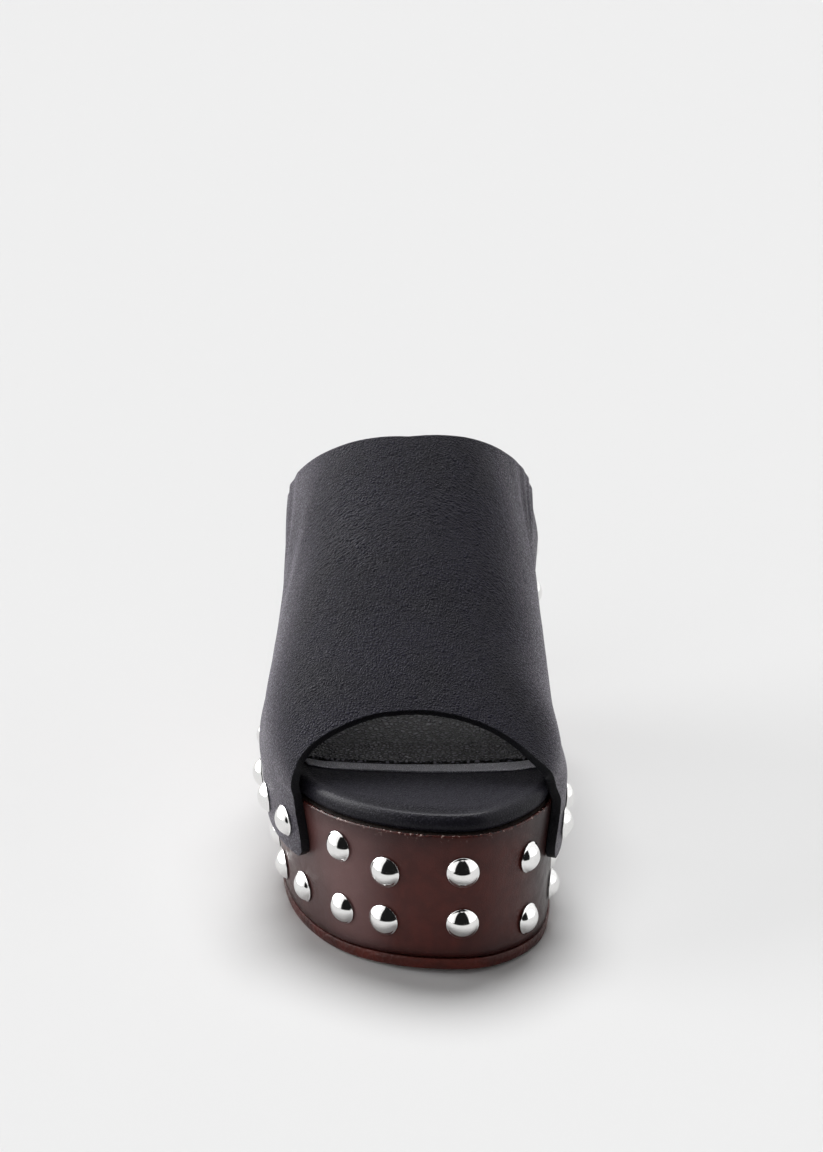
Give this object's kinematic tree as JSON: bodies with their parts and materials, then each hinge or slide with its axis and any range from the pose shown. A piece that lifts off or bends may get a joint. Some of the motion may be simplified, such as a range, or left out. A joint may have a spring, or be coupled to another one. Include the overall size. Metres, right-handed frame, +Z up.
{
  "type": "platform sandal",
  "caption": "Open-toe, open-back platform clog sandal for a right foot: hollow leather upper nailed with domed studs to a leather-covered platform with a block heel.",
  "frame": {"origin": "centre of the bounding box in plan, at floor height under the sole", "axes": "+Z up, toe to -Y, heel to +Y, +X to the medial side of a right foot"},
  "size_m": [0.1014, 0.2316, 0.1343],
  "materials": {
    "outsole": "thin reddish-brown sole, satin, with a shiny cut edge",
    "heel_tip": "dark matte heel piece",
    "block": "plain block, hidden under the leather skin",
    "wrap": "brown burnished leather with reddish lights, satin",
    "pad": "black smooth leather over padding, semi-gloss",
    "sock": "black pebbled leather, satin",
    "upper": "black pebble-grained leather with soft creases, satin",
    "studs": "polished nickel"
  },
  "bodies": {
    "root": {"outsole": "outsole", "heel_tip": "heel_tip", "platform": "block", "platform_wrap": "wrap", "insole": "pad", "sock": "sock", "upper": "upper", "stud_lower_lateral_01": "studs", "stud_lower_lateral_02": "studs", "stud_lower_lateral_03": "studs", "stud_lower_lateral_04": "studs", "stud_lower_lateral_05": "studs", "stud_lower_lateral_06": "studs", "stud_lower_lateral_07": "studs", "stud_lower_lateral_08": "studs", "stud_lower_lateral_09": "studs", "stud_lower_medial_01": "studs", "stud_lower_medial_02": "studs", "stud_lower_medial_03": "studs", "stud_lower_medial_04": "studs", "stud_lower_medial_05": "studs", "stud_lower_medial_06": "studs", "stud_lower_medial_07": "studs", "stud_lower_medial_08": "studs", "stud_upper_lateral_01": "studs", "stud_upper_lateral_02": "studs", "stud_upper_lateral_03": "studs", "stud_upper_lateral_04": "studs", "stud_upper_lateral_05": "studs", "stud_upper_lateral_06": "studs", "stud_upper_lateral_07": "studs", "stud_upper_lateral_08": "studs", "stud_upper_lateral_09": "studs", "stud_upper_lateral_10": "studs", "stud_upper_lateral_11": "studs", "stud_upper_lateral_12": "studs", "stud_upper_medial_01": "studs", "stud_upper_medial_02": "studs", "stud_upper_medial_03": "studs", "stud_upper_medial_04": "studs", "stud_upper_medial_05": "studs", "stud_upper_medial_06": "studs", "stud_upper_medial_07": "studs", "stud_upper_medial_08": "studs", "stud_upper_medial_09": "studs", "stud_upper_medial_10": "studs", "stud_upper_medial_11": "studs", "stud_upper_medial_12": "studs"}
  },
  "joints": []
}
